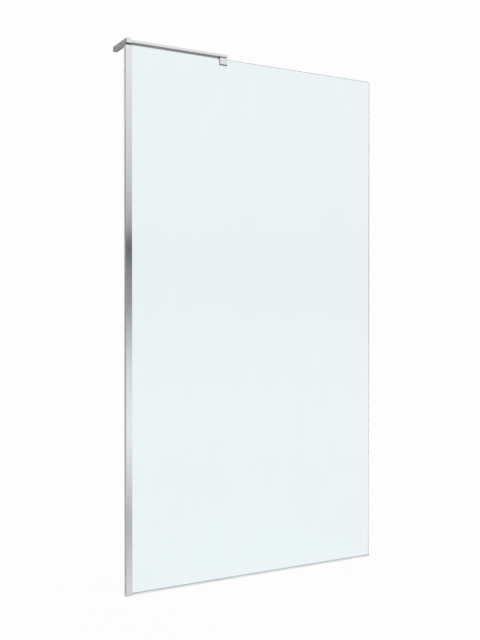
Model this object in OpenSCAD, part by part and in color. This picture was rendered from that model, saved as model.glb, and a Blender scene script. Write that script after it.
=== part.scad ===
// Walk-in shower screen. One fixed glass panel stands in an adjustable wall profile.
// An L-shaped support arm holds its top edge square to the wall through a glass clamp.
// Origin: on the wall, at the foot of the screen, in the middle of the glass thickness.
// +X runs from the wall to the free edge of the glass, +Y into the shower, +Z up.

/* [Screen] */
// Width from the wall to the free edge of the glass, with the panel pushed home
screen_w = 1100; // [700:10:1400]
// Height of the top edge of the glass and of the wall profile
screen_h = 2000; // [1800:10:2200]
// How far the panel pulls out of the wall profile, to suit a wall that is out of true
adjust_travel = 10; // [4:1:10]
// Gap on each side between the glass carrier and the wall profile that it slides in
slide_clear = 0.3; // [0.1:0.05:0.5]

/* [Glass] */
// Thickness of the toughened glass
glass_t = 8; // [6:1:12]
// Width of the ground and polished bevel along every edge of the glass
glass_arris = 0.8; // [0.3:0.1:1.5]
// Radius of the safety corners of the glass
glass_corner_r = 3; // [1:0.5:10]
// How deep the glass edge stands in its carrier
glass_grip = 12.5; // [12:0.5:24]

/* [Wall profile] */
// Thickness of the web that lies against the wall
profile_web = 2.2; // [2:0.1:4]
// Thickness of the plain outer flange
profile_front_wall = 1.6; // [1.2:0.1:3]
// Thickness of the inner flange, which carries the threads of the lock screws
profile_rear_wall = 3; // [2.5:0.1:5]
// Radius of the outer corners of the extrusion
profile_corner_r = 1.2; // [0.5:0.1:1.5]
// Room between the web and the glass carrier for the heads of the wall screws
screw_head_room = 4.5; // [2.5:0.5:8]
// Thickness of the top cap above the profile
cap_t = 4.5; // [1.5:0.5:6]
// Length of the tongue that holds the top cap in the profile
cap_tongue_l = 12; // [6:1:25]
// Width of each soft sealing strip in the back of the web
wall_seal_w = 2.4; // [1.5:0.1:3]
// Depth of the groove that holds each sealing strip
wall_seal_t = 1; // [0.6:0.1:1.4]
// Distance between the two sealing strips
wall_seal_pitch = 11; // [10:0.5:13]

/* [Wall fixings] */
// Diameter of the clearance holes for the wall screws
wall_screw_d = 5.2; // [4.2:0.1:6]
// Number of wall screws in the wall profile
wall_screw_n = 4; // [2:1:6]
// Height of the lowest wall screw, and distance of the highest one from the top
wall_screw_margin = 100; // [60:10:200]
// Number of lock screws that hold the glass carrier in the wall profile
lock_screw_n = 3; // [2:1:5]
// Diameter of the lock screws
lock_screw_d = 4; // [3:0.5:5]
// Distance of the end lock screws from the ends of the wall profile
lock_screw_margin = 200; // [150:10:400]

/* [Glass carrier] */
// Thickness of the flanges of the glass carrier
carrier_wall = 1.2; // [1:0.1:2.5]
// Thickness of the web of the glass carrier
carrier_web = 1.6; // [1:0.1:3]
// Thickness of the glazing gasket on each face of the glass
gasket_t = 2.2; // [1.5:0.1:4]
// Radius of the bead that the gaskets show at the mouth of the carrier
gasket_bead = 1.2; // [0.6:0.1:1.4]
// Thickness of the blocks between the glass edge and the web of the carrier
edge_block_t = 3.2; // [2:0.2:6]
// Length of each edge block
edge_block_l = 60; // [30:5:120]
// Number of edge blocks
edge_block_n = 3; // [2:1:5]

/* [Bottom seal] */
// Height of the seal that shows under the glass
seal_h = 6.5; // [5:0.5:14]
// Thickness of the two legs of the seal
seal_leg_t = 1; // [0.6:0.1:1.6]
// Height of the fins below the floor of the seal, and of the packers between them
seal_fin_h = 2; // [1:0.5:4]
// Thickness of the floor that the glass stands on
seal_floor_t = 1; // [0.6:0.1:2]
// Length of each packer that carries the weight of the glass
packer_l = 40; // [20:5:80]
// Distance of each packer from the ends of the seal
packer_inset = 120; // [40:10:250]

/* [Support arm] */
// Gap between the top edge of the glass and the underside of the arm
arm_gap = 4.5; // [4.5:0.5:10]
// Width of the flat bar of the arm
arm_w = 30; // [24:1:50]
// Thickness of the flat bar of the arm
arm_t = 10; // [8:1:16]
// Reach of the arm from the wall
arm_reach = 414; // [200:2:650]
// Radius of the long edges of both bars
bar_edge_r = 0.8; // [0.3:0.1:2]
// Thickness of the wall bar, square to the wall
wall_bar_t = 17; // [12:1:25]
// Height of the wall bar
wall_bar_h = 18; // [16:1:30]
// How far the underside of the wall bar lies below the underside of the arm
wall_bar_drop = 3; // [0:0.5:3]
// Reach of the wall bar into the shower, from the middle of the glass
wall_bar_reach = 118; // [100:1:200]
// How far the wall bar stands out in front of the arm
wall_bar_overhang = 3; // [0:0.5:8]
// Distance between the two wall screws of the wall bar
bar_screw_spacing = 60; // [40:5:70]
// Distance of the far wall screw from the end of the wall bar
bar_screw_margin = 15; // [10:1:25]
// Diameter of the two screws that join the arm to the wall bar
joint_screw_d = 4; // [3:0.5:5]
// How far the joint screws reach into the arm
joint_screw_grip = 14; // [8:1:25]

/* [Glass clamp] */
// Length of the front jaw along the glass
clamp_l = 31; // [28:1:60]
// Distance from the end of the arm to the clamp
clamp_set_back = 1; // [0:0.5:10]
// How far the front jaw stands out from the glass
front_jaw_t = 11; // [9:0.5:11]
// Height of the front jaw
front_jaw_h = 28; // [24:0.5:50]
// Size of the bevel along the foot of the front jaw
jaw_bevel = 4.5; // [1:0.5:5]
// Length of the rear jaw along the glass
rear_jaw_l = 14; // [14:1:18]
// Thickness of the rear jaw, which carries the thread of the set screw
rear_jaw_t = 4; // [3:0.5:6]
// How much higher than the foot of the front jaw the foot of the rear jaw is
rear_jaw_rise = 8; // [0:0.5:10]
// Height of the neck between the front jaw and the arm
neck_h = 4.5; // [2:0.5:4.5]
// Set-back of the neck from the front and both sides of the front jaw
neck_inset = 5; // [2:0.5:5]
// Thickness of the soft pads on the glass
pad_t = 1.4; // [0.8:0.1:2]
// Thickness of the pressure plate behind the inner pad
plate_t = 1.5; // [1.5:0.1:2.5]
// How far the pressure plate opens when the set screw is backed out
grip_travel = 2; // [0.5:0.1:2]
// Diameter of the set screw of the clamp
set_screw_d = 5; // [4:0.5:6]
// Distance between the two screws that hold the clamp on the arm
fixing_screw_spacing = 11; // [11:0.5:13]
// Diameter of the screws that hold the clamp on the arm
fixing_screw_d = 4; // [3:0.5:5]

/* [Hidden] */
$fn = 64;

// Small fits that the whole screen shares
face_clear = 0.1;     // between flat faces that slide or press on each other
thread_clear = 0.05;  // between a screw and its thread, on the radius
screw_clear = 0.15;   // between a screw and its plain hole, on the radius
end_clear = 0.3;      // between the ends of pieces that pass each other
cut = 1;              // how far a cutting shape reaches past the surface

// Section of the wall profile and the glass carrier, from the glass outwards
half_glass = glass_t / 2;
carrier_in_y = half_glass + gasket_t;
carrier_out_y = carrier_in_y + carrier_wall;
cavity_y = carrier_out_y + slide_clear;
profile_front_y = -(cavity_y + profile_front_wall);
profile_rear_y = cavity_y + profile_rear_wall;
carrier_x = profile_web + screw_head_room;
glass_x = carrier_x + carrier_web + edge_block_t;
profile_depth = glass_x + glass_grip;

// Heights
profile_h = screen_h - cap_t;
carrier_z = end_clear;
carrier_top_z = profile_h - end_clear;
glass_z = seal_fin_h + seal_floor_t;
arm_z = screen_h + arm_gap;
arm_mid_z = arm_z + arm_t / 2;
wall_bar_z = arm_z - wall_bar_drop;

// Clamp
clamp_x = arm_reach - clamp_set_back - clamp_l / 2;
front_jaw_y = -(half_glass + front_jaw_t);
front_jaw_top_z = arm_z - neck_h;
front_jaw_foot_z = front_jaw_top_z - front_jaw_h;
rear_jaw_foot_z = front_jaw_foot_z + rear_jaw_rise;
slot_top_z = screen_h + end_clear;
front_pad_y = -(half_glass + face_clear + pad_t);
plate_y = half_glass + face_clear + pad_t;
slot_rear_y = plate_y + plate_t + grip_travel + face_clear;
rear_jaw_y = slot_rear_y + rear_jaw_t;
plate_margin = 1;
pad_margin = 2;
plate_low_z = rear_jaw_foot_z + plate_margin;
plate_high_z = screen_h - plate_margin;
grip_z = (plate_low_z + plate_high_z) / 2;

// Screws
lock_screw_x = (carrier_x + adjust_travel + profile_depth) / 2;
seal_x = profile_depth + gasket_bead + end_clear;
bar_screw_y = wall_bar_reach - bar_screw_margin;
joint_screw_pitch = arm_w / 2;

// Heights of n things spread evenly between two margins
function spread(n, low, high) = [for (i = [0 : n - 1]) low + (high - low) * i / (n - 1)];
wall_screw_heights = spread(wall_screw_n, wall_screw_margin, screen_h - wall_screw_margin);
lock_screw_heights = spread(lock_screw_n, lock_screw_margin, screen_h - lock_screw_margin);
block_margin = edge_block_l;
edge_block_heights = spread(edge_block_n, block_margin, screen_h - block_margin);

// Colours
bright = [0.80, 0.81, 0.82];
steel = [0.62, 0.63, 0.65];
mill_aluminium = [0.70, 0.71, 0.72];
clear_glass = [0.86, 0.94, 0.94, 0.45];
clear_plastic = [0.80, 0.83, 0.84];
grey_rubber = [0.35, 0.36, 0.37];
dark_plastic = [0.12, 0.12, 0.13];
white_plastic = [0.90, 0.90, 0.88];

// Rectangle with four round corners
module rounded_rect(x0, x1, y0, y1, r) {
    translate([x0 + r, y0])
        square([x1 - x0 - 2 * r, y1 - y0]);
    translate([x0, y0 + r])
        square([x1 - x0, y1 - y0 - 2 * r]);
    for (x = [x0 + r, x1 - r], y = [y0 + r, y1 - r])
        translate([x, y])
            circle(r);
}

// Box between two corners
module box(x, y, z) {
    translate([x[0], y[0], z[0]])
        cube([x[1] - x[0], y[1] - y[0], z[1] - z[0]]);
}

// Outline in Y and Z, drawn as X and Y, extruded along X from x0 to x1
module along_x(x0, x1) {
    translate([x0, 0, 0])
        rotate([90, 0, 90])
            linear_extrude(x1 - x0)
                children();
}

// Outline in X and Z, drawn as X and Y, extruded along Y from y0 to y1
module along_y(y0, y1) {
    translate([0, y1, 0])
        rotate([90, 0, 0])
            linear_extrude(y1 - y0)
                children();
}

// Countersunk screw with its head's flat face at the origin and its tip up the Z axis
module countersunk_screw(d, l, socket) {
    head_r = d;
    head_h = d / 2;
    difference() {
        union() {
            cylinder(h = head_h, r1 = head_r, r2 = d / 2);
            cylinder(h = l, r = d / 2);
        }
        if (socket)
            translate([0, 0, -cut])
                cylinder(h = cut + head_h, r = d * 0.34, $fn = 6);
    }
}

// Hole for a countersunk screw: the head's seat, then a plain or tapped bore
module countersunk_hole(d, l, clear) {
    translate([0, 0, -cut])
        cylinder(h = cut, r = d + screw_clear);
    cylinder(h = d / 2 + screw_clear, r1 = d + screw_clear, r2 = d / 2 + clear);
    cylinder(h = l, r = d / 2 + clear);
}

// Grooves for the soft strips, or the strips themselves, in the back of the web
module wall_seal_outline(clear) {
    w = wall_seal_w - 2 * clear;
    for (side = [-1, 1])
        translate([0, side * wall_seal_pitch / 2 - w / 2])
            square([wall_seal_t, w]);
}

// Outer U-shaped extrusion, screwed to the wall
module wall_profile() {
    color(bright)
        difference() {
            linear_extrude(profile_h)
                difference() {
                    rounded_rect(0, profile_depth, profile_front_y, profile_rear_y, profile_corner_r);
                    translate([profile_web, -cavity_y])
                        square([profile_depth, 2 * cavity_y]);
                    wall_seal_outline(0);
                }
            for (z = wall_screw_heights)
                translate([-cut, 0, z])
                    rotate([0, 90, 0])
                        cylinder(h = profile_web + 2 * cut, d = wall_screw_d);
            for (z = lock_screw_heights)
                translate([lock_screw_x, cavity_y - cut / 2, z])
                    rotate([-90, 0, 0])
                        cylinder(h = profile_rear_wall + cut, r = lock_screw_d / 2 + thread_clear);
        }
}

// Cap that closes the top of the wall profile and lets the glass slide through its slot
module profile_top_cap() {
    tongue_y = cavity_y - profile_corner_r;
    slot_y = half_glass + end_clear;
    color(dark_plastic) {
        translate([0, 0, profile_h])
            linear_extrude(cap_t)
                difference() {
                    rounded_rect(0, profile_depth, profile_front_y, profile_rear_y, profile_corner_r);
                    translate([glass_x - end_clear, -slot_y])
                        square([profile_depth, 2 * slot_y]);
                }
        box([profile_web + face_clear, carrier_x - end_clear],
            [-tongue_y, tongue_y],
            [profile_h - cap_tongue_l, profile_h]);
    }
}

// Set screws in the inner flange, which press on the glass carrier and fix its place
module profile_lock_screws() {
    recess = 0.2;
    tip_y = carrier_out_y + face_clear;
    head_y = profile_rear_y - recess;
    socket_depth = (head_y - tip_y) / 2;
    color(steel)
        for (z = lock_screw_heights)
            translate([lock_screw_x, tip_y, z])
                rotate([-90, 0, 0])
                    difference() {
                        cylinder(h = head_y - tip_y, d = lock_screw_d);
                        translate([0, 0, head_y - tip_y - socket_depth])
                            cylinder(h = socket_depth + cut, r = lock_screw_d * 0.29, $fn = 6);
                    }
}

// Soft strips that seal the wall profile against the tiles
module wall_seal_strips() {
    color(grey_rubber)
        linear_extrude(profile_h)
            wall_seal_outline(thread_clear);
}

// Inner channel that holds the edge of the glass and slides in the wall profile
module glass_carrier() {
    color(mill_aluminium)
        translate([0, 0, carrier_z])
            linear_extrude(carrier_top_z - carrier_z)
                difference() {
                    translate([carrier_x, -carrier_out_y])
                        square([profile_depth - carrier_x, 2 * carrier_out_y]);
                    translate([carrier_x + carrier_web, -carrier_in_y])
                        square([profile_depth, 2 * carrier_in_y]);
                }
}

// Gasket between one face of the glass and the carrier, with a bead at the mouth
module glazing_gasket(side) {
    color(grey_rubber)
        translate([0, 0, carrier_z])
            linear_extrude(carrier_top_z - carrier_z)
                mirror([0, side < 0 ? 1 : 0])
                    translate([0, half_glass]) {
                        translate([glass_x, 0])
                            square([glass_grip, gasket_t]);
                        intersection() {
                            translate([profile_depth, 0])
                                circle(gasket_bead);
                            translate([profile_depth - cut, 0])
                                square([gasket_bead + cut, gasket_bead]);
                        }
                    }
}

module front_glazing_gasket() {
    glazing_gasket(-1);
}

module rear_glazing_gasket() {
    glazing_gasket(1);
}

// Blocks that keep the glass edge off the metal of the carrier
module glass_edge_blocks() {
    color(white_plastic)
        for (z = edge_block_heights)
            box([carrier_x + carrier_web, glass_x],
                [-half_glass, half_glass],
                [z - edge_block_l / 2, z + edge_block_l / 2]);
}

// Toughened glass with bevelled edges and small safety corners
module glass_panel() {
    a = glass_arris;
    t = half_glass;
    color(clear_glass)
        intersection() {
            along_y(-t, t)
                rounded_rect(glass_x, screen_w, glass_z, screen_h, glass_corner_r);
            linear_extrude(screen_h + cut)
                polygon([
                    [glass_x, -t + a], [glass_x + a, -t], [screen_w - a, -t], [screen_w, -t + a],
                    [screen_w, t - a], [screen_w - a, t], [glass_x + a, t], [glass_x, t - a]
                ]);
            along_x(0, screen_w)
                polygon([
                    [-t + a, glass_z], [t - a, glass_z], [t, glass_z + a], [t, screen_h - a],
                    [t - a, screen_h], [-t + a, screen_h], [-t, screen_h - a], [-t, glass_z + a]
                ]);
        }
}

// H-shaped seal pushed onto the lower edge of the glass; its fins meet the tray
module bottom_seal() {
    color(clear_plastic)
        along_x(seal_x, screen_w) {
            for (y = [-half_glass - seal_leg_t, half_glass])
                translate([y, 0])
                    square([seal_leg_t, seal_h]);
            translate([-half_glass, seal_fin_h])
                square([glass_t, seal_floor_t]);
        }
}

// Hard packers between the fins of the seal, which carry the weight of the glass
module glass_packers() {
    y = half_glass - face_clear;
    color(white_plastic)
        for (x = [seal_x + packer_inset, screen_w - packer_inset - packer_l])
            box([x, x + packer_l], [-y, y], [0, seal_fin_h]);
}

// Bar that lies along the wall, square to the glass
module wall_bar() {
    color(bright)
        difference() {
            along_y(-arm_w / 2 - wall_bar_overhang, wall_bar_reach)
                rounded_rect(0, wall_bar_t, wall_bar_z, wall_bar_z + wall_bar_h, bar_edge_r);
            for (y = [bar_screw_y - bar_screw_spacing, bar_screw_y])
                translate([wall_bar_t, y, wall_bar_z + wall_bar_h / 2])
                    rotate([0, -90, 0])
                        countersunk_hole(wall_screw_d, wall_bar_t + cut, 0);
            for (side = [-1, 1])
                translate([0, side * joint_screw_pitch / 2, arm_mid_z])
                    rotate([0, 90, 0])
                        countersunk_hole(joint_screw_d, wall_bar_t + cut, screw_clear);
        }
}

// Flat bar over the top edge of the glass
module support_arm() {
    color(bright)
        difference() {
            along_x(wall_bar_t, arm_reach)
                rounded_rect(-arm_w / 2, arm_w / 2, arm_z, arm_z + arm_t, bar_edge_r);
            for (side = [-1, 1])
                translate([wall_bar_t - cut, side * joint_screw_pitch / 2, arm_mid_z])
                    rotate([0, 90, 0])
                        cylinder(h = joint_screw_grip + 2 * cut, r = joint_screw_d / 2 + thread_clear);
            for (side = [-1, 1])
                translate([clamp_x + side * fixing_screw_spacing / 2, 0, arm_z + arm_t])
                    rotate([180, 0, 0])
                        countersunk_hole(fixing_screw_d, arm_t + cut, screw_clear);
        }
}

// Screws from the wall side that join the arm to the wall bar
module arm_joint_screws() {
    color(steel)
        for (side = [-1, 1])
            translate([screw_clear, side * joint_screw_pitch / 2, arm_mid_z])
                rotate([0, 90, 0])
                    countersunk_screw(joint_screw_d, wall_bar_t + joint_screw_grip - screw_clear, true);
}

// Clamp block: a long front jaw and a short rear jaw, with a neck up to the arm
module clamp_body() {
    b = jaw_bevel;
    y = front_jaw_y;
    low_z = front_jaw_foot_z;
    neck_x = clamp_l / 2 - neck_inset;
    color(bright)
        difference() {
            union() {
                along_x(clamp_x - clamp_l / 2, clamp_x + clamp_l / 2)
                    polygon([
                        [y, front_jaw_top_z], [y, low_z + b], [y + b, low_z],
                        [front_pad_y, low_z], [front_pad_y, front_jaw_top_z]
                    ]);
                along_x(clamp_x - neck_x, clamp_x + neck_x)
                    polygon([
                        [y + neck_inset, arm_z], [y + neck_inset, front_jaw_top_z - cut],
                        [front_pad_y, front_jaw_top_z - cut], [front_pad_y, slot_top_z],
                        [rear_jaw_y, slot_top_z], [rear_jaw_y, arm_z]
                    ]);
                box([clamp_x - rear_jaw_l / 2, clamp_x + rear_jaw_l / 2],
                    [slot_rear_y, rear_jaw_y],
                    [rear_jaw_foot_z, arm_z]);
            }
            for (side = [-1, 1])
                translate([clamp_x + side * fixing_screw_spacing / 2, 0, slot_top_z - cut])
                    cylinder(h = arm_gap + 2 * cut, r = fixing_screw_d / 2 + thread_clear);
            translate([clamp_x, slot_rear_y - cut, grip_z])
                rotate([-90, 0, 0])
                    cylinder(h = rear_jaw_t + 2 * cut, r = set_screw_d / 2 + thread_clear);
        }
}

// Screws through the arm that hold the clamp
module clamp_fixing_screws() {
    tip_z = slot_top_z + face_clear;
    head_z = arm_z + arm_t - screw_clear;
    color(steel)
        for (side = [-1, 1])
            translate([clamp_x + side * fixing_screw_spacing / 2, 0, head_z])
                rotate([180, 0, 0])
                    countersunk_screw(fixing_screw_d, head_z - tip_z, true);
}

// Soft pad on the front jaw
module clamp_front_pad() {
    color(grey_rubber)
        box([clamp_x - clamp_l / 2 + pad_margin, clamp_x + clamp_l / 2 - pad_margin],
            [front_pad_y, front_pad_y + pad_t],
            [front_jaw_foot_z + pad_margin, screen_h - pad_margin]);
}

// Plate that the set screw presses towards the glass
module clamp_pressure_plate() {
    color(steel)
        box([clamp_x - rear_jaw_l / 2 + plate_margin, clamp_x + rear_jaw_l / 2 - plate_margin],
            [plate_y, plate_y + plate_t],
            [plate_low_z, plate_high_z]);
}

// Soft pad on the pressure plate
module clamp_rear_pad() {
    color(grey_rubber)
        box([clamp_x - rear_jaw_l / 2 + pad_margin, clamp_x + rear_jaw_l / 2 - pad_margin],
            [plate_y - pad_t, plate_y],
            [rear_jaw_foot_z + pad_margin, screen_h - pad_margin]);
}

// Socket set screw in the rear jaw
module clamp_set_screw() {
    tip_y = plate_y + plate_t + thread_clear;
    socket_depth = (rear_jaw_y - tip_y) / 2;
    color(steel)
        translate([clamp_x, tip_y, grip_z])
            rotate([-90, 0, 0])
                difference() {
                    cylinder(h = rear_jaw_y - tip_y, d = set_screw_d);
                    translate([0, 0, rear_jaw_y - tip_y - socket_depth])
                        cylinder(h = socket_depth + cut, r = set_screw_d * 0.29, $fn = 6);
                }
}

wall_profile();
profile_top_cap();
profile_lock_screws();
wall_seal_strips();
glass_carrier();
front_glazing_gasket();
rear_glazing_gasket();
glass_edge_blocks();
glass_panel();
bottom_seal();
glass_packers();
wall_bar();
support_arm();
arm_joint_screws();
clamp_body();
clamp_fixing_screws();
clamp_front_pad();
clamp_pressure_plate();
clamp_rear_pad();
clamp_set_screw();
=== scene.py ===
import math

import bmesh
import bpy
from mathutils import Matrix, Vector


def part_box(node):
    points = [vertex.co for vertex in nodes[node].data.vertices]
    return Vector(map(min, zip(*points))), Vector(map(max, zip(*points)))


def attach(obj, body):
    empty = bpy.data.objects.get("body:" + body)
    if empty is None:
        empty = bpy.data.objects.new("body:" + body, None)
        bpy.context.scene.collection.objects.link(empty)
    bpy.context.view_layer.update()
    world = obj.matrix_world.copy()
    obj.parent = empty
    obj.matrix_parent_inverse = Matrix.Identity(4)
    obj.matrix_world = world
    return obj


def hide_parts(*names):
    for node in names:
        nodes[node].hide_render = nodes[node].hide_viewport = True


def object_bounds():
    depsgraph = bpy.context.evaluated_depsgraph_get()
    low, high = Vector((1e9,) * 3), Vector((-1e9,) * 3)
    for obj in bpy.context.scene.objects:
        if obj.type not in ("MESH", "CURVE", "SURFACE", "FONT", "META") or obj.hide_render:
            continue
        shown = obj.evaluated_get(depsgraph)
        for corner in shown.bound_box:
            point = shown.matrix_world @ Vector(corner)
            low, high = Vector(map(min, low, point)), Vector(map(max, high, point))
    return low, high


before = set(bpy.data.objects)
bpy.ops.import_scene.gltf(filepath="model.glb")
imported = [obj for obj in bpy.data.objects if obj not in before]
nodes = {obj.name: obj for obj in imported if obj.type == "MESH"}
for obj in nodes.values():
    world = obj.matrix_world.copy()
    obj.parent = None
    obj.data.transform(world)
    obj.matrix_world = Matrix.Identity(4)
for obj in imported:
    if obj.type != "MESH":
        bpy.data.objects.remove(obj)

cad_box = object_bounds()
scene = bpy.context.scene
scene.view_settings.view_transform = "Standard"

# View
# The camera stands outside the shower, a little towards the wall, and looks level at half the
# height of the glass, which draws away to the right.
eye = (-1.217, -3.022, 1.0271)
turn_to_shower = math.radians(29.271)
tilt = math.radians(-0.437)
picture_h_px = 640
focal_px = 892.47
view = bpy.data.cameras.new("view")
# The sensor's width spans the longer side of the picture.
view.lens = focal_px / picture_h_px * view.sensor_width
camera = bpy.data.objects.new("view", view)
camera.location = eye
camera.rotation_euler = (math.pi / 2 + tilt, 0, -turn_to_shower)
scene.collection.objects.link(camera)
scene.camera = camera


# Studio
# A white room with soft light from everywhere and one wide soft lamp. Bright metal mirrors its
# walls: pale above and below, with a belt at eye level that is darker in front than behind.
# Two tall dark screens at the back, one on each side, draw the edges of the metal.
class Wire:
    """What a node gives. Sums on wires add Math nodes, and node() adds any other node."""

    def __init__(self, tree, socket=None):
        self.tree, self.socket = tree, socket

    def node(self, kind, settings=None, inputs=None, gives=0):
        """A new node: its settings, then the value or wire of each input, and the output used."""
        made = self.tree.nodes.new("ShaderNode" + kind)
        for name, value in (settings or {}).items():
            if name == "stops":
                self.fill_ramp(made.color_ramp, value)
            else:
                setattr(made, name, value)
        for name, value in (inputs or {}).items():
            socket = made.inputs[name]
            if isinstance(value, Wire):
                self.tree.links.new(value.socket, socket)
            elif socket.type == "RGBA":
                socket.default_value = (*value, 1)
            else:
                socket.default_value = value
        return Wire(self.tree, made.outputs[gives] if made.outputs else None)

    @staticmethod
    def fill_ramp(ramp, stops):
        """Gives a colour ramp its (place, grey) stops."""
        ramp.interpolation = "LINEAR"
        while len(ramp.elements) > 1:
            ramp.elements.remove(ramp.elements[-1])
        ramp.elements[0].position = stops[0][0]
        for place, _ in stops[1:]:
            ramp.elements.new(place)
        for element, (_, grey) in zip(ramp.elements, stops):
            element.color = (grey, grey, grey, 1)

    def maths(self, operation, other=0.0):
        """One Math node. An operation on a single value leaves the other one out."""
        return self.node("Math", {"operation": operation}, {0: self, 1: other})

    def __add__(self, other):
        return self.maths("ADD", other)

    def __mul__(self, other):
        return self.maths("MULTIPLY", other)

    def __truediv__(self, other):
        return self.maths("DIVIDE", other)

    def __rsub__(self, other):
        return self * -1 + other

    __radd__ = __add__
    __rmul__ = __mul__

    def over(self, limit):
        """1 where the value is greater than the limit, and 0 elsewhere."""
        return self.maths("GREATER_THAN", limit)

    def under(self, limit):
        """1 where the value is less than the limit, and 0 elsewhere."""
        return self.maths("LESS_THAN", limit)

    def either(self, other):
        """1 where one of two masks is 1."""
        return self.maths("MAXIMUM", other)

    def along(self, axis):
        """The X, Y or Z of a vector."""
        return self.node("SeparateXYZ", inputs={0: self}, gives=axis)

    def smooth(self, start, end, low=0.0, high=1.0):
        """Runs from low to high in a smooth curve as the value goes from start to end."""
        return self.node("MapRange", {"interpolation_type": "SMOOTHSTEP"},
                         {"Value": self, 1: start, 2: end, 3: low, 4: high})

    def colours(self, first, second):
        """The first colour where this value is 0, the second where it is 1."""
        return self.node("Mix", {"data_type": "RGBA"}, {0: self, 6: first, 7: second}, 2)

    def clouded(self, first, second, start=0.3, end=0.7):
        """Clouds of two colours from a noise, which seldom goes below start or above end."""
        return self.smooth(start, end).colours(first, second)

    def shaders(self, first, second):
        """The first shader where this value is 0, the second where it is 1."""
        return self.node("MixShader", inputs={0: self, 1: first, 2: second})


# Each table gives what metal mirrors there: the degrees above the horizon, and the grey.
front_by_elevation = [(-90, 0.45), (-68, 0.42), (-62, 0.25), (-54, 0.25), (-47, 0.66), (-24, 0.70),
                      (-17, 0.74), (-13.4, 0.50), (-7.5, 0.92), (-3.3, 0.76), (-0.8, 0.49),
                      (0.6, 0.35), (2.5, 0.28), (4.3, 0.11), (5.5, 0.42), (7, 0.54), (9, 0.66),
                      (17, 0.89), (90, 1.0)]
back_by_elevation = [(-90, 0.60), (-20, 0.78), (-6, 0.74), (1, 0.48), (4, 0.45), (8, 0.66),
                     (17, 0.88), (90, 0.95)]
screen_by_elevation = [(-90, 0.40), (-17, 0.27), (-13.4, 0.18), (-7.5, 0.33), (-3.3, 0.27),
                       (0.6, 0.13), (2.5, 0.11), (4.3, 0.05), (5.5, 0.18), (9, 0.34),
                       (13.4, 0.53), (15.2, 0.57), (15.85, 0.34), (90, 0.40)]
# Degrees to the side of straight back over which a screen comes in, and over which it ends.
screen_inner, screen_outer = (8, 14), (31, 37)
side_wall_blend = 0.1
white_paper = (0.982, 0.982, 0.982)
soft_light = 0.75

room = bpy.data.worlds.new("white_room")
room.use_nodes = True
room.node_tree.nodes.clear()
start = Wire(room.node_tree)
direction = start.node("TexCoord", gives="Generated")
height = direction.along("Z")
depth = direction.along("Y")
sideways = direction.along("X").maths("ABSOLUTE") / depth


def by_elevation(stops):
    """Grey that depends on how high above the horizon, in degrees, the mirrored ray goes."""
    places = [((math.sin(math.radians(angle)) + 1) / 2, grey) for angle, grey in stops]
    return start.node("ValToRGB", {"stops": places}, {0: (height + 1) / 2})


inner, outer = [[math.tan(math.radians(angle)) for angle in pair]
                for pair in (screen_inner, screen_outer)]
on_screen = sideways.smooth(*inner) * (1 - sideways.smooth(*outer))
behind = depth.smooth(-side_wall_blend, side_wall_blend)
walls = by_elevation(front_by_elevation) * (1 - behind) + by_elevation(back_by_elevation) * behind
mirrored = walls * (1 - on_screen) + by_elevation(screen_by_elevation) * on_screen
bounced = start.node("LightPath", gives="Glossy Depth").over(0)
glossy = start.node("LightPath", gives="Is Glossy Ray").either(bounced)
through = start.node("LightPath", gives="Is Transmission Ray") * (1 - bounced)
seen = start.node("LightPath", gives="Is Camera Ray").either(through)
lit = start.node("Background", inputs={"Color": (1, 1, 1), "Strength": soft_light})
shown = start.node("Background", inputs={"Color": white_paper, "Strength": 1.0})
reflected = start.node("Background", inputs={"Color": mirrored, "Strength": 1.0})
start.node("OutputWorld", inputs={"Surface": seen.shaders(glossy.shaders(lit, reflected), shown)})
scene.world = room

lamp = bpy.data.lights.new("soft_lamp", "SUN")
lamp.energy = 1.15
lamp.angle = math.radians(40)
soft_lamp = bpy.data.objects.new("soft_lamp", lamp)
soft_lamp.rotation_euler = (math.radians(38), math.radians(-18), 0)
soft_lamp.visible_glossy = False
scene.collection.objects.link(soft_lamp)


# Floor
# A plain white floor that runs into the white room, so that only the soft shadow under the
# screen shows. It lies a hair below the foot of the screen.
def new_finish(name):
    """An empty material, the wire that its nodes are added to, and the place on the piece."""
    material = bpy.data.materials.new(name)
    material.use_nodes = True
    material.node_tree.nodes.clear()
    start = Wire(material.node_tree)
    return material, start, start.node("TexCoord", gives="Object")


floor_r = 9.0
floor_gap = 0.0002
shadow_full_r, shadow_r = 1.0, 3.0
shadow_share = 0.12
bpy.ops.mesh.primitive_circle_add(vertices=96, radius=floor_r, fill_type="NGON",
                                  location=(cad_box[1].x / 2, 0, -floor_gap))
floor = bpy.context.object
floor.name = "floor"
floor.visible_glossy = False
floor_paint, start, place = new_finish("floor_paint")
away = start.node("VectorMath", {"operation": "LENGTH"}, {0: place}, "Value")
by_eye = start.node("LightPath", gives="Is Camera Ray").either(
    start.node("LightPath", gives="Is Transmission Ray"))
matt = start.node("BsdfDiffuse", inputs={"Color": (0.96, 0.96, 0.96)})
plain = start.node("Emission", inputs={"Color": white_paper, "Strength": 1.0})
share = by_eye * away.smooth(shadow_full_r, shadow_r, 1 - shadow_share, 1.0)
start.node("OutputMaterial", inputs={"Surface": share.shaders(matt, plain)})
floor.data.materials.append(floor_paint)


# Wall profile
# Bright aluminium extrusion, polished and anodised to look like chrome, screwed to the wall.
# Faint die lines run up its whole length, and its back is left duller than its other faces.
def noise(place, waves, detail=3.0, rough=0.5):
    """Cloudy pattern from 0 to 1, with that many waves in a metre along X, Y and Z."""
    stretched = place.node("Mapping", inputs={"Vector": place, "Scale": waves})
    return place.node("TexNoise", inputs={"Vector": stretched, "Scale": 1.0,
                                          "Detail": detail, "Roughness": rough})


def bump(height, depth_m):
    """Normal of a surface that the height, from 0 to 1, raises by up to depth_m."""
    return height.node("Bump", inputs={"Height": height, "Distance": depth_m, "Strength": 1.0})


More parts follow.
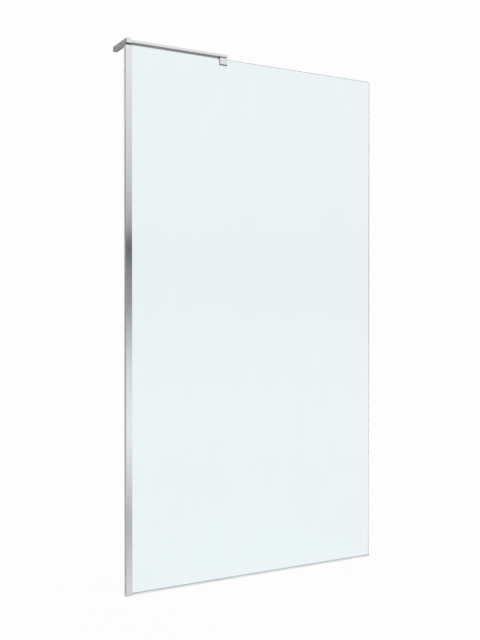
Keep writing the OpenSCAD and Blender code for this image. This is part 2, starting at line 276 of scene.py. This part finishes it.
def surface(start, sockets):
    """Ends a material in one shader, with the values and wires of its sockets."""
    shader = start.node("BsdfPrincipled", inputs=sockets)
    start.node("OutputMaterial", inputs={"Surface": shader})


def polished_metal(name, dark, bright, lines, gloss, depth_m, dull_back=None, painted_shade_above=None):
    """Mirror metal with fine lines, soft wipe marks and a little swell. The back, which lies on
    the wall, can be duller, by one share at the front and another at the shower side. What
    lies higher than the given height is painted dark grey, as painted shade for a neck in a
    recess."""
    line_share = 0.6
    line_depth = 0.35
    line_gloss = 0.02
    material, start, place = new_finish(name)
    fine = noise(place, lines)
    wipes = noise(place, (11, 11, 5), detail=4.0, rough=0.6)
    swell = noise(place, (16, 16, 2.5), detail=1.0)
    colour = (fine * line_share + wipes * (1 - line_share)).clouded(dark, bright)
    roughness = wipes.smooth(0.4, 0.75, *gloss) + fine * line_gloss
    metallic = 1.0
    if dull_back:
        on_wall = 0.0003
        front_y, shower_y = -0.0015, 0.0035
        dull_gloss = 0.6
        back = place.along("X").under(on_wall) * place.along("Y").smooth(
            front_y, shower_y, *dull_back)
        roughness += back * dull_gloss
        metallic = 1 - back
    if painted_shade_above:
        # Painted shade: the neck above the given height is coloured dark for the shade in its
        # recess under the arm.
        painted_neck_shade = (0.25, 0.255, 0.265)
        colour = place.along("Z").over(painted_shade_above).colours(colour, painted_neck_shade)
    surface(start, {"Base Color": colour, "Roughness": roughness, "Metallic": metallic,
                    "Normal": bump(fine * line_depth + swell, depth_m)})
    return material


def coat(material, *names):
    """Gives CAD nodes their finish."""
    for name in names:
        for slot in nodes[name].material_slots:
            slot.material = material


profile_metal = polished_metal("polished_profile", (0.84, 0.85, 0.86), (0.90, 0.91, 0.92),
                               lines=(1400, 1400, 1.5), gloss=(0.05, 0.10), depth_m=0.00002,
                               dull_back=(0.18, 0.75))
coat(profile_metal, "wall_profile")


# Top cap
# Moulded plastic, pushed into the top of the profile on a tongue, with a slot that
# the glass slides through. Its dark grey colour is painted shade, for the shade in the gap
# under the wall bar, and shows as a dark line between the profile and the wall bar.
def rounded(name, body, material, radius, wanted):
    """Stands in for a CAD node, with a small round along those of its sharp edges that are
    wanted."""
    same_point = 0.000001
    flat_turn = math.radians(0.4)
    sharp_turn = 0.4
    smooth_turn = math.radians(30)
    shape = bmesh.new()
    shape.from_mesh(nodes[name].data)
    bmesh.ops.remove_doubles(shape, verts=shape.verts, dist=same_point)
    bmesh.ops.dissolve_limit(shape, angle_limit=flat_turn, verts=shape.verts, edges=shape.edges)
    sharp = [edge for edge in shape.edges
             if edge.is_manifold and edge.calc_face_angle() > sharp_turn and wanted(edge)]
    bmesh.ops.bevel(shape, geom=sharp, offset=radius, offset_type="OFFSET", affect="EDGES",
                    segments=4, profile=0.5, material=-1, clamp_overlap=True)
    mesh = bpy.data.meshes.new(name + "_rounded")
    for face in shape.faces:
        face.smooth = True
    shape.to_mesh(mesh)
    shape.free()
    mesh.set_sharp_from_angle(angle=smooth_turn)
    mesh.materials.append(material)
    piece = bpy.data.objects.new(name + "_rounded", mesh)
    scene.collection.objects.link(piece)
    even = piece.modifiers.new("even_faces", "WEIGHTED_NORMAL")
    even.keep_sharp = True
    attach(piece, body)
    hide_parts(name)


def lies_at(edge, axis, *places):
    """Whether an edge lies in a plane square to the axis, at one of those places on it."""
    slack = 0.0001
    return any(all(abs(getattr(vert.co, axis) - place) < slack for vert in edge.verts)
               for place in places)


painted_shade_plastic, start, place = new_finish("cap_plastic")
grain = noise(place, (2600, 2600, 2600), detail=2.0)
flow = noise(place, (90, 90, 90))
# Painted shade: the cap's dark grey stands in for the shade in the gap under the wall bar.
surface(start, {
    "Base Color": flow.clouded((0.135, 0.137, 0.140), (0.185, 0.187, 0.190)),
    "Roughness": 0.38 + grain * 0.2, "Normal": bump(grain, depth_m=0.00003)})
cap_round = 0.0004
cap_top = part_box("profile_top_cap")[1].z
rounded("profile_top_cap", "wall_frame", painted_shade_plastic, cap_round,
        lambda edge: lies_at(edge, "z", cap_top))


# Screws
# Stainless steel, turned and passivated. Lock screws press on the glass carrier, joint screws
# hold the arm on the wall bar, fixing screws hold the clamp, and a set screw grips the glass.
steel, start, place = new_finish("screw_steel")
grain = noise(place, (2600, 2600, 2600), detail=2.0)
stain = noise(place, (160, 160, 160))
surface(start, {
    "Base Color": stain.clouded((0.58, 0.59, 0.61), (0.66, 0.67, 0.69), 0.35, 0.7),
    "Roughness": 0.18 + grain * 0.16, "Metallic": 1.0, "Normal": bump(grain, depth_m=0.00001)})
coat(steel, "profile_lock_screws", "arm_joint_screws", "clamp_fixing_screws",
     "clamp_pressure_plate", "clamp_set_screw")


# Glass carrier
# Inner aluminium channel, satin anodised, that holds the glass edge and slides in the profile.
# Its lines run up its length, as on the profile.
satin, start, place = new_finish("carrier_aluminium")
lines = noise(place, (1800, 1800, 2), detail=4.0, rough=0.7)
grain = noise(place, (5000, 5000, 5000), detail=1.0)
line_share = 0.6
surface(start, {
    "Base Color": lines.clouded((0.66, 0.67, 0.68), (0.74, 0.75, 0.76)),
    "Roughness": 0.30 + lines * 0.12, "Metallic": 1.0,
    "Normal": bump(lines * line_share + grain * (1 - line_share), depth_m=0.00002)})
coat(satin, "glass_carrier")


# Gaskets, pads and wall strips
# Matt grey rubber. The gaskets hold the glass in its carrier, the pads keep the clamp off the
# glass, and two strips seal the wall profile against the tiles.
rubber, start, place = new_finish("gasket_rubber")
grain = noise(place, (3200, 3200, 3200), rough=0.65)
bloom = noise(place, (40, 40, 9), detail=4.0, rough=0.6)
surface(start, {
    "Base Color": bloom.clouded((0.15, 0.155, 0.16), (0.20, 0.205, 0.21), 0.3, 0.75),
    "Roughness": 0.62 + grain * 0.25, "Normal": bump(grain, depth_m=0.00004)})
coat(rubber, "wall_seal_strips", "front_glazing_gasket", "rear_glazing_gasket",
     "clamp_front_pad", "clamp_rear_pad")


# Edge blocks and packers
# Hard white plastic, moulded, with a fine spark-eroded grain. The blocks stand between the
# glass edge and its carrier, and the packers carry the weight of the glass.
plastic, start, place = new_finish("packer_plastic")
grain = noise(place, (2200, 2200, 2200), detail=2.0)
flow = noise(place, (60, 60, 20))
surface(start, {
    "Base Color": flow.clouded((0.80, 0.80, 0.77), (0.86, 0.86, 0.84)),
    "Roughness": 0.42 + grain * 0.2, "Normal": bump(grain, depth_m=0.00003)})
coat(plastic, "glass_edge_blocks", "glass_packers")


# Glass panel
# One sheet of clear toughened glass with ground and polished edges. Its faces keep the slow
# roller wave of the toughening oven, and its edges look deeper green than its faces.
edge_band = 0.0009
roller_pitch = 0.28
roller_drift = 3
glass, start, place = new_finish("clear_glass")
low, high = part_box("glass_panel")
x, z = place.along("X"), place.along("Z")
edge = x.over(high.x - edge_band).either(x.under(low.x + edge_band)).either(
    z.over(high.z - edge_band)).either(z.under(low.z + edge_band))
drift = noise(place, (1.2, 1.2, 1.2), detail=1.0) * roller_drift
roller = (z * (2 * math.pi / roller_pitch) + drift).maths("SINE") * 0.5 + 0.5
haze = noise(place, (7, 7, 4), detail=4.0, rough=0.6)
sheet = start.node("BsdfPrincipled", inputs={
    "Base Color": haze.clouded((0.846, 0.918, 0.934), (0.858, 0.926, 0.941)),
    "Roughness": haze.smooth(0.55, 0.8, 0.0, 0.02), "IOR": 1.3, "Transmission Weight": 1.0,
    "Normal": bump(roller, depth_m=0.00005)})
ground = noise(place, (900, 900, 900), detail=2.0)
rim = start.node("BsdfPrincipled", inputs={
    "Base Color": ground.clouded((0.69, 0.75, 0.74), (0.77, 0.82, 0.81)),
    "Roughness": 0.12 + ground * 0.1, "IOR": 1.5, "Transmission Weight": 0.7})
let_through = start.node("BsdfTransparent", inputs={"Color": (0.86, 0.93, 0.94)})
by_lamp = start.node("LightPath", gives="Is Shadow Ray")
start.node("OutputMaterial", inputs={
    "Surface": by_lamp.shaders(edge.shaders(sheet, rim), let_through)})
coat(glass, "glass_panel")


# Bottom seal
# Translucent soft plastic, extruded to an H, pushed on the lower edge of the glass. Its two
# fins meet the tray.
seal_plastic, start, place = new_finish("seal_plastic")
lines = noise(place, (3, 1500, 1500))
cloud = noise(place, (18, 18, 60))
surface(start, {
    "Base Color": cloud.clouded((0.77, 0.79, 0.785), (0.83, 0.845, 0.84)),
    "Roughness": 0.25 + lines * 0.15, "IOR": 1.45, "Transmission Weight": 0.15,
    "Normal": bump(lines, depth_m=0.00003)})
coat(seal_plastic, "bottom_seal")


# Wall bar, support arm and clamp body
# Solid brass bars and a brass block, milled, polished and chrome plated. The wall bar is
# screwed to the wall, the arm to the bar from behind, and the clamp hangs under the arm.
def chrome(name, lines, painted_shade_above=None):
    """Chrome plate on brass, which keeps that many faint polishing lines in a metre."""
    return polished_metal(name, (0.80, 0.81, 0.82), (0.86, 0.865, 0.875), lines=lines,
                          gloss=(0.03, 0.07), depth_m=0.00001, painted_shade_above=painted_shade_above)


def long_edge(edge):
    """Leaves out the short edges that make up round holes."""
    hole_facet = 0.002
    return edge.calc_length() > hole_facet


bar_round, arm_round, clamp_round = 0.0006, 0.0005, 0.0004
neck_gap = 0.00005
neck_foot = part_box("glass_panel")[1].z + neck_gap
bar_low, bar_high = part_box("wall_bar")
arm_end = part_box("support_arm")[1].x
rounded("wall_bar", "wall_frame", chrome("chrome_wall_bar", lines=(900, 2, 900)),
        bar_round, lambda edge: lies_at(edge, "y", bar_low.y, bar_high.y))
rounded("support_arm", "wall_frame", chrome("chrome_arm", lines=(2, 900, 900)),
        arm_round, lambda edge: lies_at(edge, "x", arm_end))
# The clamp's neck, above the top of the glass, is painted dark as painted shade for its recess
# under the arm.
rounded("clamp_body", "wall_frame",
        chrome("chrome_clamp", lines=(300, 300, 300), painted_shade_above=neck_foot),
        clamp_round, long_edge)
